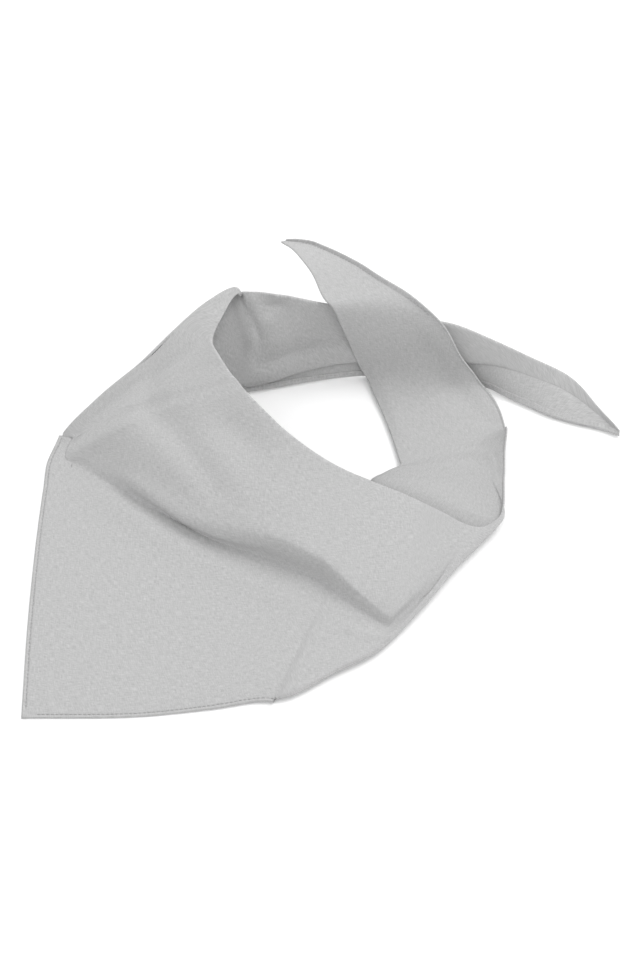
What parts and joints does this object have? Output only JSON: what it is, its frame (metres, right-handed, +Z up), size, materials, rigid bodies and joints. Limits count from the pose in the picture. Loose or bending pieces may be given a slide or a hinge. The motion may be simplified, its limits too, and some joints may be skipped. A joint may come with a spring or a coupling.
{
  "type": "neckerchief",
  "caption": "Three-cornered cloth neckerchief laid down with its ends crossed round a neck hollow, its long edge turned in and its short edges hemmed.",
  "frame": {"origin": "under the middle of the whole, at the level that the cloth rests on", "axes": "+Z up, -Y towards the front corner, +Y towards the crossed ends, +X to the wearer's left of the front corner as seen from above"},
  "size_m": [0.3242, 0.5208, 0.0712],
  "materials": {
    "cloth": "plain weave, matt"
  },
  "bodies": {
    "root": {"cloth": "cloth", "left_hem": "cloth", "right_hem": "cloth"}
  },
  "joints": []
}
